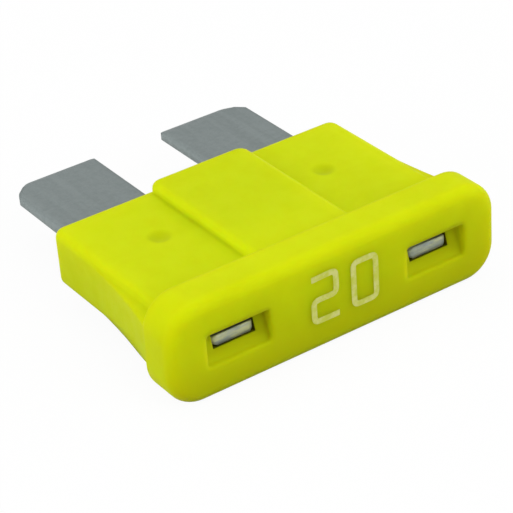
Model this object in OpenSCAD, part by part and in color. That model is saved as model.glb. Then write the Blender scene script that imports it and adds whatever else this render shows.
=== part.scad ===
// Automotive blade fuse of the regular size, lying on its broad side.
// X runs across the two blades, Y from the head to the blade tips, and Z is up.
// The origin is under the middle of the fuse, on the surface that the head lies on.

/* [Whole fuse] */
// Length from the front of the head to the tips of the blades
overall_l = 18.9; // [17.5:0.1:21]
// Length of the plastic housing, head included
housing_l = 12; // [11:0.1:13.5]

/* [Head] */
// Width of the head
head_w = 19.1; // [18.8:0.1:21]
// Thickness of the head
head_t = 5.3; // [5:0.1:6]
// Depth of the head, front to back
head_d = 2.2; // [1.9:0.1:2.8]
// Radius of the head's four corners, seen from the front
head_corner_r = 1.75; // [1.5:0.05:2.2]
// Rounding of the head's front edge
head_front_r = 0.45; // [0.2:0.05:0.7]
// Rounding of the head's rear edge
head_rear_r = 0.15; // [0.1:0.05:0.3]
// Flat strip left round the head's rear face, outside the hollow curve that leads to the body
rear_strip = 0.15; // [0.1:0.05:0.3]

/* [Body] */
// Step from the head's sides in to the body's straight sides
body_inset = 1; // [0.85:0.05:1.15]
// Thickness of the body beside its middle panel
shoulder_t = 3.1; // [2.7:0.1:3.4]
// Rounding of the body's long edges
shoulder_r = 0.45; // [0.2:0.05:0.5]
// Radius of the body's two corners, seen from above
body_corner_r = 0.6; // [0.6:0.05:1]
// How far the hollow curve behind the head sinks under the body's broad faces before it ends
cove_sink = 0.1; // [0.05:0.05:0.2]

/* [Middle panel] */
// Width of the raised panel over the fuse link
panel_w = 5.8; // [5:0.1:6.5]
// Thickness of the housing at the raised panel
panel_t = 4.1; // [4:0.1:4.5]
// Radius of the panel's two corners, seen from above
panel_corner_r = 0.6; // [0.45:0.05:1]
// Rounding of the panel's edges
panel_r = 0.35; // [0.1:0.05:0.4]

/* [Flared sides] */
// Strip of the head's rear face left bare outside the flare
flare_strip = 0.05; // [0.05:0.05:0.3]
// Distance from the head over which the flare runs out
flare_run = 7.8; // [6:0.1:8.8]
// Step from the body's broad faces down to the flare
flare_step = 0.35; // [0.3:0.05:0.6]
// Rounding of the flare's edges
flare_edge_r = 0.35; // [0.1:0.05:0.4]

/* [Test pockets] */
// Width of the pocket that bares the metal for a test probe
pocket_w = 3.55; // [3.2:0.05:3.8]
// Height of the pocket
pocket_h = 1.75; // [1.4:0.05:2.2]
// Depth of the pocket
pocket_d = 0.9; // [0.6:0.05:1.2]
// Radius of the pocket's corners
pocket_r = 0.2; // [0.1:0.05:0.4]
// Distance between the middles of the two pockets
pocket_pitch = 11.5; // [11.1:0.02:11.9]

/* [Metal element] */
// Thickness of the sheet that the element is stamped from
sheet_t = 0.65; // [0.5:0.05:0.8]
// Width of each blade
blade_w = 5.2; // [4.8:0.1:5.4]
// Distance between the middles of the two blades
blade_pitch = 9.3; // [9.1:0.1:9.8]
// Distance from the front of the head to the inner end of the blades
blade_root_y = 3.2; // [2.8:0.1:3.8]
// Cut across the outer corner of each blade tip
tip_cut = 1.1; // [0.6:0.1:1.6]
// Rounding at both ends of that cut
tip_r = 0.6; // [0.2:0.05:0.8]
// Rounding of the inner corner of each blade tip
inner_tip_r = 0.25; // [0.1:0.05:0.5]
// Bevel along the blade's long edges
edge_bevel = 0.16; // [0.05:0.01:0.2]
// Length of the bevel that leads the tip into a socket
tip_bevel_l = 0.5; // [0.3:0.1:1]
// Width of the test tab that rises into each pocket
tab_w = 2.3; // [1.8:0.1:2.6]
// Depth of the tab's end below the front of the head
tab_depth = 0.5; // [0.3:0.05:0.8]
// Distance between the middles of the two tabs
tab_pitch = 11.4; // [11:0.1:11.6]
// Rounding of the tab's two corners
tab_r = 0.25; // [0.1:0.05:0.5]

/* [Fuse link] */
// Width of the strip that melts
link_w = 0.62; // [0.4:0.02:0.8]
// Thickness of that strip
link_t = 0.35; // [0.2:0.05:0.5]
// Distance between two neighbouring runs of the strip
link_step = 1.1; // [1:0.05:1.3]
// Half the length of the strip's middle run
link_reach = 0.75; // [0.5:0.05:1]
// Distance from the front of the head to the middle of the link
link_y = 8; // [7.4:0.1:8.6]
// Diameter of the two nicks that thin the strip at its middle
nick_d = 0.3; // [0.15:0.05:0.4]

/* [Inside the housing] */
// Gap between the blades and the plastic round them
fit_gap = 0.05; // [0.03:0.01:0.12]
// Gap between the test tabs and the plastic round them
tab_gap = 0.15; // [0.05:0.01:0.2]
// Width of the chamber round the fuse link
chamber_w = 4.9; // [4.6:0.1:5.2]
// Height of the chamber
chamber_h = 2.7; // [2.2:0.1:2.9]
// Distance from the front of the head to the chamber
chamber_y = 5.4; // [5:0.1:5.8]

/* [Stakes] */
// Diameter of the hole in each blade that the stake grips
stake_hole_d = 1.3; // [1:0.05:1.5]
// Distance from the front of the head to the stakes
stake_y = 7.8; // [7:0.1:9]
// Distance between the two stakes
stake_pitch = 9.8; // [9.6:0.02:10.2]
// Diameter of the round dent that the staking tool leaves in the surface
dent_d = 1.25; // [0.8:0.05:1.6]
// Depth of the dent
dent_depth = 0.14; // [0.08:0.02:0.3]

/* [Hidden] */
$fn = 48;
// How far a cut runs past the surface that it opens
over = 1;
// Width of the body between its two straight sides
body_w = head_w - 2 * body_inset;
// Outer reach of the hollow curve behind the head, from the middle of the head's corners, and its radius
cove_reach = head_corner_r - head_rear_r - rear_strip;
cove_r = (head_t - shoulder_t) / 2 - head_rear_r - rear_strip + cove_sink;
// Width of the flare at the head, its height, and how far its run-out ends under the body's side
flare_w = head_w - 2 * (head_rear_r + flare_strip);
flare_h = shoulder_t - 2 * flare_step;
flare_lap = 0.06;
// Facets of the whole circle that the flare's long hollow curve belongs to
flare_facets = 360;
// Radius of the ball that the staking tool ends in
dent_ball_r = (dent_d * dent_d / 4 + dent_depth * dent_depth) / (2 * dent_depth);
// Faces of the blades, from the middle of the fuse
blade_inner_x = (blade_pitch - blade_w) / 2;
blade_outer_x = (blade_pitch + blade_w) / 2;
// Heading that the cut at the blade's tip faces, in degrees from the X axis
cut_facing = 45;

// Direction in which an edge of an outline runs
function heading(from, to) = atan2(to.y - from.y, to.x - from.x);

// Angle from one heading to the next, from -180 to 180 degrees
function turn(from, to) = let (d = to - from) d > 180 ? d - 360 : d < -180 ? d + 360 : d;

// Puts what is drawn about the mid plane, with the head's front at Y = 0, into the part's frame
module in_frame() {
    translate([0, -overall_l / 2, head_t / 2]) children();
}

// Repeats a shape of the right-hand side on the left
module both_sides() {
    children();
    mirror([1, 0, 0]) children();
}

// Repeats a shape of the upper side underneath
module above_and_below() {
    children();
    mirror([0, 0, 1]) children();
}

// Section of a slab's rim: reach outward in X, and from low to high in Y, with both corners rounded
module rim_section(reach, low, high, low_r, high_r) {
    difference() {
        translate([0, low]) square([reach, high - low]);
        difference() {
            translate([reach - low_r, low]) square(low_r);
            translate([reach - low_r, low + low_r]) circle(low_r);
        }
        difference() {
            translate([reach - high_r, high - high_r]) square(high_r);
            translate([reach - high_r, high - high_r]) circle(high_r);
        }
    }
}

// Slab whose rim sweeps one section round the corner centres, which run anticlockwise
module swept_slab(centres, low, high) {
    last = len(centres) - 1;
    translate([0, 0, low]) linear_extrude(high - low) polygon(centres);
    for (i = [0:last]) {
        here = centres[i];
        next = centres[i == last ? 0 : i + 1];
        before = centres[i == 0 ? last : i - 1];
        run = heading(here, next);
        arrive = heading(before, here);
        translate(here) rotate(run - 90)
            translate([0, norm(next - here), 0]) rotate([90, 0, 0])
                linear_extrude(norm(next - here)) children();
        translate(here) rotate(arrive - 90) rotate_extrude(angle = turn(arrive, run)) children();
    }
}

// Four corner centres of a plate of a given width and corner radius
function four_centres(width, near_y, far_y, r) = [
    [width / 2 - r, near_y],
    [width / 2 - r, far_y],
    [r - width / 2, far_y],
    [r - width / 2, near_y]
];

// Sweeps a section round the middles of the head's corners, from near to far along the fuse
module round_the_head(near, far) {
    x = head_w / 2 - head_corner_r;
    z = head_t / 2 - head_corner_r;
    rotate([-90, 0, 0]) swept_slab([[x, -z], [x, z], [-x, z], [-x, -z]], near, far) children();
}

// Wide head that the fuse is held by
module head_block() {
    round_the_head(0, head_d) rim_section(head_corner_r, 0, head_d, head_front_r, head_rear_r);
}

// Hollow curve all round, from the head's rear face in to the body
module rear_cove() {
    round_the_head(head_d, head_d + cove_r)
        translate([0, head_d])
            difference() {
                square([cove_reach, cove_r]);
                translate([cove_reach, cove_r]) circle(cove_r);
            }
}

// Flat body behind the head
module shoulders() {
    centres = four_centres(body_w, head_d, housing_l - body_corner_r, body_corner_r);
    swept_slab(centres, -shoulder_t / 2, shoulder_t / 2)
        rim_section(body_corner_r, -shoulder_t / 2, shoulder_t / 2, shoulder_r, shoulder_r);
}

// Ears that widen the body's sides towards the head along a hollow curve
module flare() {
    reach = (flare_w - body_w) / 2 + flare_lap;
    radius = (flare_run * flare_run + reach * reach) / (2 * reach);
    section_r = [flare_w / 2 - flare_edge_r, flare_h / 2 - flare_edge_r];
    intersection() {
        translate([0, 0, -flare_h / 2]) linear_extrude(flare_h)
            difference() {
                translate([0, head_d]) square([flare_w / 2, flare_run]);
                translate([flare_w / 2 - reach + radius, head_d + flare_run])
                    circle(radius, $fn = flare_facets);
            }
        translate([0, head_d + flare_run, 0]) rotate([90, 0, 0]) linear_extrude(flare_run) {
            square([2 * section_r.x, flare_h], center = true);
            square([flare_w, 2 * section_r.y], center = true);
            for (j = [-1, 1]) translate([section_r.x, j * section_r.y]) circle(flare_edge_r);
        }
    }
}

// Raised panel in the middle of both broad faces
module middle_panel() {
    centres = four_centres(panel_w, head_d, housing_l - panel_corner_r, panel_corner_r);
    swept_slab(centres, -panel_t / 2, panel_t / 2)
        rim_section(panel_corner_r, -panel_t / 2, panel_t / 2, panel_r, panel_r);
}

// Pocket in the front of the head, round the end of the test tab
module test_pocket() {
    x = pocket_w / 2 - pocket_r;
    z = pocket_h / 2 - pocket_r;
    translate([pocket_pitch / 2, pocket_d, 0]) rotate([90, 0, 0])
        linear_extrude(pocket_d + over) {
            square([2 * x, pocket_h], center = true);
            square([pocket_w, 2 * z], center = true);
            for (i = [-1, 1], j = [-1, 1]) translate([i * x, j * z]) circle(pocket_r);
        }
}

// Rectangle round the right-hand blade, up to a given distance from the head's front
module blade_plan(grow, far_y) {
    translate([blade_inner_x - grow, blade_root_y - grow])
        square([blade_w + 2 * grow, far_y - blade_root_y + grow]);
}

// Rectangle round the right-hand test tab
module tab_plan(grow) {
    translate([(tab_pitch - tab_w) / 2 - grow, tab_depth - grow])
        square([tab_w + 2 * grow, blade_root_y - tab_depth + 2 * grow]);
}

// Room in the housing for one blade, open at the blade end
module blade_slot() {
    linear_extrude(sheet_t + 2 * fit_gap, center = true) blade_plan(fit_gap, housing_l + over);
}

// Room in the head for one test tab, open into its pocket
module tab_slot() {
    linear_extrude(sheet_t + 2 * tab_gap, center = true) tab_plan(tab_gap);
}

// Room for the fuse link under the raised panel, open at the blade end
module link_chamber() {
    translate([-chamber_w / 2, chamber_y, -chamber_h / 2])
        cube([chamber_w, housing_l + over - chamber_y, chamber_h]);
}

// Plastic that is staked through the hole in the blade
module stake() {
    translate([stake_pitch / 2, stake_y, 0])
        cylinder(h = shoulder_t / 2, d = stake_hole_d - 2 * fit_gap, center = true);
}

// Dents that staking leaves in both broad faces
module stake_dents() {
    above_and_below()
        translate([stake_pitch / 2, stake_y, shoulder_t / 2 - dent_depth + dent_ball_r])
            sphere(dent_ball_r);
}

// One-piece plastic housing
module housing() {
    color([0.78, 0.85, 0.06])
        in_frame() {
            difference() {
                union() {
                    head_block();
                    rear_cove();
                    shoulders();
                    middle_panel();
                    both_sides() flare();
                }
                link_chamber();
                both_sides() {
                    test_pocket();
                    blade_slot();
                    tab_slot();
                    stake_dents();
                }
            }
            both_sides() stake();
        }
}

// What a convex corner loses when it is rounded, between two edges that face the given headings
module rounded_off(corner, first_facing, second_facing, r) {
    half = (second_facing - first_facing) / 2;
    to_corner = r / cos(half);
    touch = [r * cos(half), r * sin(half)];
    translate(corner) rotate(first_facing + half) translate([-to_corner, 0])
        difference() {
            polygon([[0, 0], [touch.x, -touch.y], [2 * to_corner, 0], touch]);
            circle(r);
        }
}

// Outline of the right-hand test tab, with the corners of its free end rounded
module tab_outline() {
    difference() {
        tab_plan(0);
        rounded_off([(tab_pitch - tab_w) / 2, tab_depth], 180, 270, tab_r);
        rounded_off([(tab_pitch + tab_w) / 2, tab_depth], 270, 360, tab_r);
    }
}

// Outline of the right-hand blade, with its outer tip corner cut and its corners rounded
module blade_outline() {
    difference() {
        blade_plan(0, overall_l);
        translate([blade_outer_x, overall_l - tip_cut]) rotate(cut_facing) square(2 * tip_cut);
        rounded_off([blade_outer_x, overall_l - tip_cut], 0, cut_facing, tip_r);
        rounded_off([blade_outer_x - tip_cut, overall_l], cut_facing, 90, tip_r);
        rounded_off([blade_inner_x, overall_l], 90, 180, inner_tip_r);
    }
}

// Section across the blade, with all four long edges bevelled
module blade_section() {
    x = blade_w / 2;
    z = sheet_t / 2;
    translate([blade_pitch / 2, 0])
        polygon([
            [-x, edge_bevel - z],
            [edge_bevel - x, -z],
            [x - edge_bevel, -z],
            [x, edge_bevel - z],
            [x, z - edge_bevel],
            [x - edge_bevel, z],
            [edge_bevel - x, z],
            [-x, z - edge_bevel]
        ]);
}

// Side view of the blade, which thins towards its tip
module blade_profile() {
    z = sheet_t / 2;
    polygon([
        [0, -z],
        [overall_l - tip_bevel_l, -z],
        [overall_l, edge_bevel - z],
        [overall_l, z - edge_bevel],
        [overall_l - tip_bevel_l, z],
        [0, z]
    ]);
}

// One blade, made where three outlines meet: from above, along its length and from the side
module blade() {
    intersection() {
        linear_extrude(sheet_t, center = true) blade_outline();
        translate([0, overall_l, 0]) rotate([90, 0, 0]) linear_extrude(overall_l) blade_section();
        rotate([90, 0, 90]) linear_extrude(head_w / 2) blade_profile();
    }
}

// Hole in the right-hand blade for its stake
module stake_hole() {
    translate([stake_pitch / 2, stake_y, 0]) cylinder(h = 2 * sheet_t, d = stake_hole_d, center = true);
}

// Half of the winding strip: its run from the right-hand blade and the bend at that run's end
module half_link() {
    leg = blade_inner_x + edge_bevel + link_reach;
    translate([-link_reach, -link_step - link_w / 2, -link_t / 2]) cube([leg, link_w, link_t]);
    translate([-link_reach, -link_step / 2, 0]) rotate(90)
        rotate_extrude(angle = 180)
            translate([link_step / 2 - link_w / 2, -link_t / 2]) square([link_w, link_t]);
}

// Strip that joins the two blades in the shape of an S, with its middle run nicked on both sides
module fuse_link() {
    translate([0, link_y, 0])
        difference() {
            union() {
                cube([2 * link_reach, link_w, link_t], center = true);
                for (angle = [0, 180]) rotate(angle) half_link();
            }
            for (side = [-1, 1])
                translate([0, side * link_w / 2, 0])
                    cylinder(h = 2 * link_t, d = nick_d, center = true);
        }
}

// One-piece metal element: both blades, their test tabs and the link between them
module fuse_element() {
    color([0.55, 0.58, 0.58])
        in_frame() {
            both_sides()
                difference() {
                    union() {
                        blade();
                        linear_extrude(sheet_t, center = true) tab_outline();
                    }
                    stake_hole();
                }
            fuse_link();
        }
}

housing();
fuse_element();
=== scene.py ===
import math

import bmesh
import bpy
from mathutils import Matrix, Vector


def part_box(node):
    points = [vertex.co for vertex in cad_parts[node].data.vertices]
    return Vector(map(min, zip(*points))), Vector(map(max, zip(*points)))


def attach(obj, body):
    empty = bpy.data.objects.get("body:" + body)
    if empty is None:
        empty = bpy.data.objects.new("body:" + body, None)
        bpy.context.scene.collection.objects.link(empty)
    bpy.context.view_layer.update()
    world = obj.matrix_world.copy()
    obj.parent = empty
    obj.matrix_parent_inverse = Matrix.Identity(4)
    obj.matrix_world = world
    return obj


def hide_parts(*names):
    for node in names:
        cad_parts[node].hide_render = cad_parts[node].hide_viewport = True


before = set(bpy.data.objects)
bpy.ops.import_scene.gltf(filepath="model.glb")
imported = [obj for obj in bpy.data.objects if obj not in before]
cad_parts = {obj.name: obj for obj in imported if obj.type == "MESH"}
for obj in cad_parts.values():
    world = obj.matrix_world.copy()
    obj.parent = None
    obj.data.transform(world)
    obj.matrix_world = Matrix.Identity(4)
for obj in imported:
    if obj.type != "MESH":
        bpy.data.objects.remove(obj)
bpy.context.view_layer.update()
mm = 0.001
film = 0.005 * mm  # thickness of the ink, for which the front face stands back
tiny = 0.001 * mm  # allowance where a corner is looked for at a known place
lowest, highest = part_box("housing")
frontY = lowest.y  # the head's front face
middleZ = (lowest.z + highest.z) / 2  # height of the fuse's middle plane
print("frame loaded:", ", ".join(sorted(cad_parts)))


class Wire:
    # one socket, so that shader maths reads as ordinary maths
    def __init__(self, finish, socket):
        self.finish = finish
        self.socket = socket

    def maths(self, operation, a, b=0.0):
        return self.finish.node("ShaderNodeMath", {"operation": operation}, {0: a, 1: b})

    def __add__(self, other):
        return self.maths("ADD", self, other)

    def __radd__(self, other):
        return self.maths("ADD", other, self)

    def __sub__(self, other):
        return self.maths("SUBTRACT", self, other)

    def __rsub__(self, other):
        return self.maths("SUBTRACT", other, self)

    def __mul__(self, other):
        return self.maths("MULTIPLY", self, other)

    def __rmul__(self, other):
        return self.maths("MULTIPLY", other, self)

    def __abs__(self):
        return self.maths("ABSOLUTE", self)

    def over(self, other):
        # the larger of the two
        return self.maths("MAXIMUM", self, other)


class Finish:
    # the nodes of a material, or of the world, under construction
    def __init__(self, owner):
        self.owner = owner
        owner.use_nodes = True
        self.tree = owner.node_tree
        self.tree.nodes.clear()

    def node(self, kind, settings=None, sockets=None, out=0):
        made = self.tree.nodes.new(kind)
        for key, value in (settings or {}).items():
            setattr(made, key, value)
        for key, value in (sockets or {}).items():
            if isinstance(value, Wire):
                self.tree.links.new(value.socket, made.inputs[key])
            else:
                made.inputs[key].default_value = value
        return Wire(self, made.outputs[out] if made.outputs else None)

    def place(self):
        return self.node("ShaderNodeTexCoord", out="Object")

    def axis(self, name):
        # one coordinate of the place that is shaded
        return self.node("ShaderNodeSeparateXYZ", None, {0: self.place()}, out=name)

    def noise(self, perMetre, detail=3, roughness=0.5, stretch=(1, 1, 1)):
        where = self.node("ShaderNodeMapping", None, {"Vector": self.place(), "Scale": stretch})
        return self.node("ShaderNodeTexNoise", None,
                         {"Vector": where, "Scale": perMetre, "Detail": detail, "Roughness": roughness})

    def between(self, value, low, high):
        # 0 to 1 as value goes from low to high
        return self.node("ShaderNodeMapRange", {"interpolation_type": "SMOOTHSTEP"},
                         {"Value": value, "From Min": low, "From Max": high})

    def blendColour(self, factor, a, b):
        return self.node("ShaderNodeMix", {"data_type": "RGBA"}, {"Factor": factor, 6: a, 7: b}, out=2)

    def bump(self, height, depth, edges=0.0):
        # edges: how far the shading of an edge is softened
        links = {"Strength": 1.0, "Distance": depth, "Height": height}
        if edges:
            links["Normal"] = self.node("ShaderNodeBevel", {"samples": 6}, {"Radius": edges})
        return self.node("ShaderNodeBump", None, links)

    def close(self, shader):
        self.node("ShaderNodeOutputMaterial", None, {"Surface": shader})
        return self.owner


def shown(name, bm, material):
    # a piece of the scene, made from its bmesh
    data = bpy.data.meshes.new(name)
    bm.to_mesh(data)
    bm.free()
    data.materials.append(material)
    made = bpy.data.objects.new(name, data)
    bpy.context.scene.collection.objects.link(made)
    return made


meshing = {
    "weld": 0.0001 * mm,         # corners nearer than this become one
    "flat": math.radians(0.3),   # faces that meet at less become one
    "crisp": math.radians(32),   # edges that turn by more stay sharp
}


def reshaped(name, node, material, move):
    # stands for a CAD node: the same faces, with each corner where move() puts it
    c = meshing
    bm = bmesh.new()
    bm.from_mesh(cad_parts[node].data)
    bmesh.ops.remove_doubles(bm, verts=bm.verts[:], dist=c["weld"])
    for vertex in bm.verts:
        vertex.co = move(vertex.co)
    bmesh.ops.dissolve_limit(bm, angle_limit=c["flat"], verts=bm.verts[:], edges=bm.edges[:])
    bm.normal_update()
    for face in bm.faces:
        face.smooth = True
    for edge in bm.edges:
        edge.smooth = edge.calc_face_angle(0) < c["crisp"]
    made = shown(name, bm, material)
    even = made.modifiers.new("even shading", "WEIGHTED_NORMAL")
    even.keep_sharp = True
    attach(made, "root")
    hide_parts(node)


camera = {
    "azimuth": -32.725,
    "elevation": 31.592,
    "roll": -4.399,
    "distance": 100.719 * mm,
    "aim": (-1.068 * mm, -4.113 * mm, 2.65 * mm),
    "sensor": 36,
    "lens": 146.184,
    "clipStart": 2 * mm,
}


def makeCamera(c):
    a, e = math.radians(c["azimuth"]), math.radians(c["elevation"])
    back = Vector((math.sin(a) * math.cos(e), -math.cos(a) * math.cos(e), math.sin(e)))
    right = Vector((0, 0, 1)).cross(back).normalized()
    up = back.cross(right)
    turn = Matrix.Rotation(math.radians(c["roll"]), 3, back)
    axes = Matrix((right, up, back)).transposed()
    data = bpy.data.cameras.new("camera")
    data.lens = c["lens"]
    data.sensor_width = c["sensor"]
    data.clip_start = c["clipStart"]
    made = bpy.data.objects.new("camera", data)
    bpy.context.scene.collection.objects.link(made)
    made.matrix_world = Matrix.Translation(Vector(c["aim"]) + back * c["distance"]) @ (turn @ axes).to_4x4()
    bpy.context.scene.camera = made


makeCamera(camera)
print("camera placed")


# the two test tabs, which both pieces are shaped round
tabs = {
    "middleX": 5.7 * mm,
    "halfWidth": 1.15 * mm,
    "halfThickness": 0.325 * mm,
}

housing = {
    "colour": (0.640, 0.745, 0.004, 1),
    "deepColour": (0.590, 0.680, 0.003, 1),   # where the plastic flowed thicker
    "flowPerMetre": 160,                      # slow clouds, drawn out along the flow of the moulding
    "flowStretch": (1, 0.5, 1),
    "flowShare": 0.7,
    "cloudPerMetre": 950,
    "deepFrom": 0.35,
    "deepTo": 0.7,
    "paintedShadeColour": (0.500, 0.505, 0.003, 1),    # painted shade on the front face, towards its lower edge
    "frontShadeShare": 0.75,
    "frontShadeFromZ": 3.975 * mm,                   # height where this darkening starts
    "frontShadeToY": 1.0 * mm,                       # and how far back it goes
    "pocketShadeShare": 0.7,                       # painted shade, in the same colour, inside the test pockets
    "pocketNear": 0.56 * mm,                  # which fades out between these distances from the tab
    "pocketFar": 0.7 * mm,
    "pocketFromY": 0.1 * mm,                  # and sets in from this depth to rimY
    "slotShadeColour": (0.085, 0.090, 0.003, 1),   # painted shade in the narrow slot round each test tab
    "slotNear": 0.18 * mm,                    # which fades out between these distances from the tab
    "slotFar": 0.24 * mm,
    "slotInY": 0.04 * mm,                     # and sets in this far behind the pocket's floor
    "slotEndY": 2.4 * mm,                     # from the head's front
    "dentShadeColour": (0.420, 0.500, 0.003, 1),   # painted shade in the dents, where the plastic over the metal is thin
    "dentShadeShare": 0.45,
    "dentX": 4.9 * mm,                        # middle of the dent over each stake
    "dentY": 7.8 * mm,
    "dentRadius": 0.75 * mm,
    "glow": 0.85,                             # share of the light that passes under the surface
    "glowReach": (1.5, 0.95, 0.1),
    "glowScale": 2.0 * mm,
    "sheen": 0.05,
    "sheenTint": (1.0, 1.0, 0.2, 1),
    "roughLow": 0.42,
    "roughHigh": 0.56,
    "roughCloud": 0.6,                        # share of the clouds in it, against the grain
    "roughFrom": 0.3,
    "roughTo": 0.7,
    "grainPerMetre": 9000,
    "grainDepth": 0.005 * mm,
    "softEdge": 0.4 * mm,
    "floorY": 0.9 * mm,                       # depth of the pockets' flat floor in the CAD
    "rimY": 0.51 * mm,                        # depth here along the walls, at half height
    "rimSlope": 0.33,                         # and what it gains upwards
    "mouthY": 0.61 * mm,                      # the same where the slot opens into the pocket
    "mouthSlope": 0.28,
    "mouthHalfWidth": 1.18 * mm,
    "mouthHalfHeight": 0.345 * mm,
    "headHalfWidth": 9.55 * mm,
    "headHalfHeight": 2.65 * mm,
    "headCorner": 1.75 * mm,                  # radius of the head's outline
    "frontRounding": 0.45 * mm,               # of the head's front edge in the CAD
    "frontEase": 1.33,                        # and how many times as large it is here
}


def mouldedPlastic(c):
    f = Finish(bpy.data.materials.new("housing_plastic"))
    flow = f.noise(c["flowPerMetre"], detail=2, stretch=c["flowStretch"])
    cloud = f.noise(c["cloudPerMetre"])
    grain = f.noise(c["grainPerMetre"], detail=2, roughness=0.6)
    thick = flow * c["flowShare"] + cloud * (1 - c["flowShare"])
    colour = f.blendColour(f.between(thick, c["deepFrom"], c["deepTo"]), c["colour"], c["deepColour"])
    depth, height = f.axis("Y") - frontY, f.axis("Z") - middleZ
    # painted shade: the front face is made darker towards its lower edge
    paintedFrontShade = f.between(f.axis("Z"), c["frontShadeFromZ"], 0.0) * f.between(depth, c["frontShadeToY"], 0.0)
    colour = f.blendColour(paintedFrontShade * c["frontShadeShare"], colour, c["paintedShadeColour"])
    # painted shade in the shallow dent over each stake
    dentX, dentY = abs(f.axis("X")) - c["dentX"], depth - c["dentY"]
    paintedDentShade = f.between(dentX * dentX + dentY * dentY, c["dentRadius"] ** 2, 0.0)
    colour = f.blendColour(paintedDentShade * c["dentShadeShare"], colour, c["dentShadeColour"])
    acrossTab = abs(abs(f.axis("X")) - tabs["middleX"]) - tabs["halfWidth"]
    overTab = abs(height) - tabs["halfThickness"]
    fromTab = acrossTab.over(overTab)
    inHead = f.between(depth, c["slotEndY"] + c["slotNear"], c["slotEndY"])
    # painted shade inside each test pocket, near its tab and behind the front
    paintedPocketShade = inHead * f.between(fromTab, c["pocketFar"], c["pocketNear"])
    paintedPocketShade = paintedPocketShade * f.between(depth, c["pocketFromY"], c["rimY"])
    colour = f.blendColour(paintedPocketShade * c["pocketShadeShare"], colour, c["paintedShadeColour"])
    # painted shade in the slot round each tab, behind the pocket's floor
    behindFloor = depth - c["mouthY"] - c["mouthSlope"] * height
    paintedSlotShade = f.between(fromTab, c["slotFar"], c["slotNear"]) * inHead
    paintedSlotShade = paintedSlotShade * f.between(behindFloor, 0.0, c["slotInY"])
    colour = f.blendColour(paintedSlotShade, colour, c["slotShadeColour"])
    worn = f.between(cloud * c["roughCloud"] + grain * (1 - c["roughCloud"]), c["roughFrom"], c["roughTo"])
    return f.close(f.node("ShaderNodeBsdfPrincipled", None, {
        "Base Color": colour,
        "Roughness": c["roughLow"] + (c["roughHigh"] - c["roughLow"]) * worn,
        "Normal": f.bump(grain, c["grainDepth"], c["softEdge"]),
        "Subsurface Weight": c["glow"],
        "Subsurface Radius": c["glowReach"],
        "Subsurface Scale": c["glowScale"],
        "Specular IOR Level": c["sheen"],
        "Specular Tint": c["sheenTint"],
    }))


def easedFront(place):
    # the rounding of the head's front edge, made larger all round
    c = housing
    height = place.z - middleZ
    centre = Vector((c["headHalfWidth"] - c["headCorner"], c["headHalfHeight"] - c["headCorner"]))
    out = Vector((abs(place.x) - centre.x, abs(height) - centre.y))
    rounding = Vector((max(out.x, 0), max(out.y, 0)))
    inset = c["headCorner"] - rounding.length
    if inset > c["frontRounding"] + tiny:
        return Vector((place.x, max(place.y, frontY + film), place.z))
    grown = rounding * ((c["headCorner"] - inset * c["frontEase"]) / rounding.length)
    x, z = abs(place.x) + grown.x - rounding.x, abs(height) + grown.y - rounding.y
    y = frontY + max(film, (place.y - frontY) * c["frontEase"])
    return Vector((math.copysign(x, place.x), y, middleZ + math.copysign(z, height)))


def mouldedShape(place):
    # the front edge is eased, and each pocket's floor slants, deep above the tab and shallow below it
    c = housing
    depth = place.y - frontY
    if depth < c["frontRounding"] + tiny:
        return easedFront(place)
    if abs(depth - c["floorY"]) > tiny:
        return place
    across, height = abs(place.x) - tabs["middleX"], place.z - middleZ
    fromTab = max(abs(across) - tabs["halfWidth"], abs(height) - tabs["halfThickness"])
    if fromTab > c["slotFar"]:
        return Vector((place.x, frontY + c["rimY"] + c["rimSlope"] * height, place.z))
    height = math.copysign(c["mouthHalfHeight"], height)
    x = tabs["middleX"] + math.copysign(c["mouthHalfWidth"], across)
    y = frontY + c["mouthY"] + c["mouthSlope"] * height
    return Vector((math.copysign(x, place.x), y, middleZ + height))


reshaped("housingMoulding", "housing", mouldedPlastic(housing), mouldedShape)
print("housing dressed")


element = {
    "colour": (0.357, 0.408, 0.404, 1),
    "dullColour": (0.292, 0.336, 0.332, 1),
    "rollingPerMetre": 2500,                    # fine lines of the rolled sheet, along the blades
    "rollingStretch": (1, 0.06, 1),
    "rollingShare": 0.4,
    "mottlePerMetre": 3200,
    "dullFrom": 0.32,
    "dullTo": 0.68,
    "shearedPaintedLightColour": (0.600, 0.620, 0.360, 1),  # the bare ends of the test tabs: their own matt colour, with painted light against the pocket's shade
    "shearedDepth": 0.95 * mm,                  # from the head's front
    "shearedMatt": 0.45,                        # how much less like a mirror those ends are
    "barePerMetre": 1300,                       # streaks on them
    "bareStretch": (0.6, 1, 2.4),
    "bareLow": 0.05,
    "bareFrom": 0.35,
    "bareTo": 0.65,
    "metallic": 0.85,
    "roughLow": 0.40,
    "roughHigh": 0.58,
    "roughFrom": 0.3,
    "roughTo": 0.7,
    "lineShare": 0.7,                           # of the rolling lines in the relief, against the mottling
    "lineDepth": 0.004 * mm,
    "softEdge": 0.3 * mm,
    "tabRoundY": 0.76 * mm,                     # from the head's front to where the tabs' corners end
    "tabBack": 0.1 * mm,
    "coinFrom": 0.72,                           # share of the half width where the corners start to thin
    "coinBy": 0.55,
}


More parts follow.
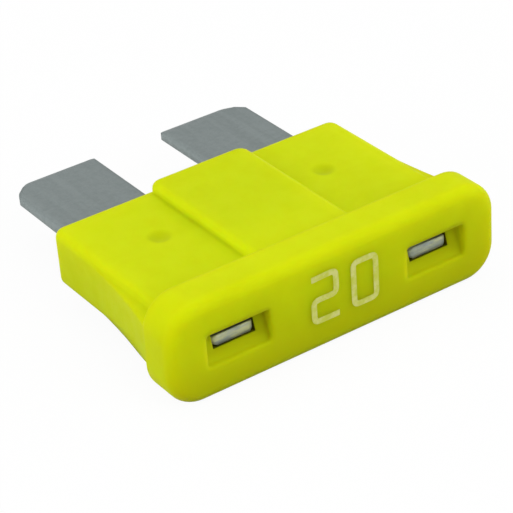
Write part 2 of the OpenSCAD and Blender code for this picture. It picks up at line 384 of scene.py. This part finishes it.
def stampedZinc(c):
    f = Finish(bpy.data.materials.new("element_metal"))
    lines = f.noise(c["rollingPerMetre"], roughness=0.6, stretch=c["rollingStretch"])
    mottle = f.noise(c["mottlePerMetre"], detail=4, roughness=0.6)
    streaks = f.noise(c["barePerMetre"], roughness=0.6, stretch=c["bareStretch"])
    stains = mottle * (1 - c["rollingShare"]) + lines * c["rollingShare"]
    dull = f.between(stains, c["dullFrom"], c["dullTo"])
    colour = f.blendColour(dull, c["colour"], c["dullColour"])
    sheared = f.between(f.axis("Y"), frontY + c["shearedDepth"], frontY + c["tabRoundY"])
    bare = c["bareLow"] + (1 - c["bareLow"]) * f.between(streaks, c["bareFrom"], c["bareTo"])
    # painted light: the bare tab ends are made lighter, as well as given their own colour
    colour = f.blendColour(sheared * bare, colour, c["shearedPaintedLightColour"])
    worn = f.between(mottle, c["roughFrom"], c["roughTo"])
    relief = lines * c["lineShare"] + mottle * (1 - c["lineShare"])
    return f.close(f.node("ShaderNodeBsdfPrincipled", None, {
        "Base Color": colour,
        "Roughness": c["roughLow"] + (c["roughHigh"] - c["roughLow"]) * worn,
        "Normal": f.bump(relief, c["lineDepth"], c["softEdge"]),
        "Metallic": c["metallic"] - c["shearedMatt"] * sheared,
    }))


def coinTabs(place):
    # the free end of each test tab stands back in its slot, with thinner corners
    c = element
    if place.y > frontY + c["tabRoundY"]:
        return place
    out = (abs(place.x) - tabs["middleX"]) / tabs["halfWidth"]
    thin = max(0.0, abs(out) - c["coinFrom"]) / (1 - c["coinFrom"]) * c["coinBy"]
    return Vector((place.x, place.y + c["tabBack"], middleZ + (place.z - middleZ) * (1 - thin)))


reshaped("stampedElement", "fuse_element", stampedZinc(element), coinTabs)
print("metal element dressed")


rating = {
    "two": [(-1.62, 1.38), (-0.22, 1.42), (-0.22, 0.20), (-1.54, 0.20), (-1.54, -0.96), (-0.10, -0.96)],
    "zero": [(0.80, 1.36), (2.11, 1.36), (2.11, -0.96), (0.80, -0.96)],  # middle lines, in mm
    "stroke": 0.31 * mm,
    "corner": 0.30 * mm,         # how much of each leg a corner rounds off
    "cornerSteps": 5,
    "colour": (0.745, 0.760, 0.235, 1),
    "thinColour": (0.630, 0.680, 0.070, 1),
    "coverPerMetre": 2600,
    "thinFrom": 0.35,
    "thinTo": 0.65,
    "paintedInkGlow": 0.02,                # painted glow, standing for light that comes through the ink from the plastic
    "roughLow": 0.5,
    "roughSpan": 0.15,
}


def roundedPath(corners, closed, c):
    # points of a stroke's middle line, with its corners rounded
    points = [Vector(corner) * mm for corner in corners]
    rounded = []
    for i, here in enumerate(points):
        if not closed and i in (0, len(points) - 1):
            rounded.append(here)
            continue
        before, after = points[i - 1], points[(i + 1) % len(points)]
        start = here + (before - here).normalized() * c["corner"]
        end = here + (after - here).normalized() * c["corner"]
        for step in range(c["cornerSteps"] + 1):
            t = step / c["cornerSteps"]
            rounded.append((start * (1 - t) + here * t) * (1 - t) + (here * (1 - t) + end * t) * t)
    return rounded


def strokeFilm(bm, path, closed, c):
    # a ribbon along the path on the head's front face, as thick as the ink
    sides = []
    for i, here in enumerate(path):
        before = path[i - 1] if closed or i else here
        after = path[(i + 1) % len(path)] if closed or i < len(path) - 1 else here
        along = ((here - before).normalized() + (after - here).normalized()).normalized()
        out = Vector((along.y, -along.x)) * c["stroke"] / 2
        sides.append([bm.verts.new((p.x, frontY + film, middleZ + p.y)) for p in (here + out, here - out)])
    if closed:
        sides.append(sides[0])
    faces = [bm.faces.new((a[0], a[1], b[1], b[0])) for a, b in zip(sides, sides[1:])]
    made = bmesh.ops.extrude_face_region(bm, geom=faces, use_keep_orig=True)
    moved = [g for g in made["geom"] if isinstance(g, bmesh.types.BMVert)]
    bmesh.ops.translate(bm, verts=moved, vec=(0, -film, 0))


def ratingInk(c):
    f = Finish(bpy.data.materials.new("print_ink"))
    cover = f.noise(c["coverPerMetre"], roughness=0.6)
    thin = f.between(cover, c["thinFrom"], c["thinTo"])
    return f.close(f.node("ShaderNodeBsdfPrincipled", None, {
        "Base Color": f.blendColour(thin, c["colour"], c["thinColour"]),
        "Roughness": c["roughLow"] + c["roughSpan"] * cover,
        # painted glow on the ink
        "Emission Color": c["colour"],
        "Emission Strength": c["paintedInkGlow"],
    }))


def makeRating(c):
    bm = bmesh.new()
    for digit, closed in (("two", False), ("zero", True)):
        strokeFilm(bm, roundedPath(c[digit], closed, c), closed, c)
    bmesh.ops.recalc_face_normals(bm, faces=bm.faces[:])
    made = shown("ratingDigits", bm, ratingInk(c))
    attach(made, "root")


makeRating(rating)
print("rating printed")


studio = {
    "floorSize": 1.2,
    "floorColour": (0.40, 0.40, 0.40, 1),
    "floorShown": 0.88,          # share of plain white that the camera sees
    "floorMirrored": 0.5,        # and how much of that share metal mirrors
    "floorGlow": 1.08,
    "skyLevel": 0.52,
    "skyShown": 0.97,            # what the camera sees of the sky
    "lamps": {                   # where each soft lamp stands, its side and its level at the object
        "top": ((-0.03, 0.10, 0.40), 0.30, 0.21),
        "left": ((-0.40, 0.08, 0.09), 0.26, 0.42),
        "front": ((0.12, -0.38, 0.28), 0.30, 0.32),
        "right": ((0.40, -0.16, 0.14), 0.26, 0.14),
    },
}


def floorWhite(c):
    # white to the camera and in the metal, grey to everything that the floor lights
    f = Finish(bpy.data.materials.new("floor_white"))
    toCamera = f.node("ShaderNodeLightPath", out="Is Camera Ray")
    mirrored = f.node("ShaderNodeLightPath", out="Is Glossy Ray")
    through = f.node("ShaderNodeLightPath", out="Is Transmission Ray")
    white = toCamera.over(mirrored.over(through) * c["floorMirrored"]) * c["floorShown"]
    plain = f.node("ShaderNodeBsdfDiffuse", None, {"Color": c["floorColour"]})
    glow = f.node("ShaderNodeEmission", None, {"Color": (1, 1, 1, 1), "Strength": c["floorGlow"]})
    return f.close(f.node("ShaderNodeMixShader", None, {0: white, 1: plain, 2: glow}))


def makeFloor(c):
    bm = bmesh.new()
    bmesh.ops.create_grid(bm, x_segments=8, y_segments=8, size=c["floorSize"] / 2)
    made = shown("floor", bm, floorWhite(c))


def makeSky(c):
    f = Finish(bpy.data.worlds.new("studio"))
    toCamera = f.node("ShaderNodeLightPath", out="Is Camera Ray")
    strength = c["skyLevel"] + (c["skyShown"] - c["skyLevel"]) * toCamera
    sky = f.node("ShaderNodeBackground", None, {"Color": (1, 1, 1, 1), "Strength": strength})
    f.node("ShaderNodeOutputWorld", None, {"Surface": sky})
    bpy.context.scene.world = f.owner


def makeLamps(c):
    for name, (where, side, level) in c["lamps"].items():
        where = Vector(where)
        data = bpy.data.lights.new(name, "AREA")
        data.shape = "SQUARE"
        data.size = side
        data.energy = level * math.pi ** 2 * where.length_squared  # so that the distance doesn't dim it
        lamp = bpy.data.objects.new(name, data)
        lamp.rotation_euler = where.to_track_quat("Z", "Y").to_euler()
        lamp.location = where
        bpy.context.scene.collection.objects.link(lamp)


makeFloor(studio)
makeSky(studio)
makeLamps(studio)
bpy.context.scene.view_settings.view_transform = "Standard"
print("studio lit")
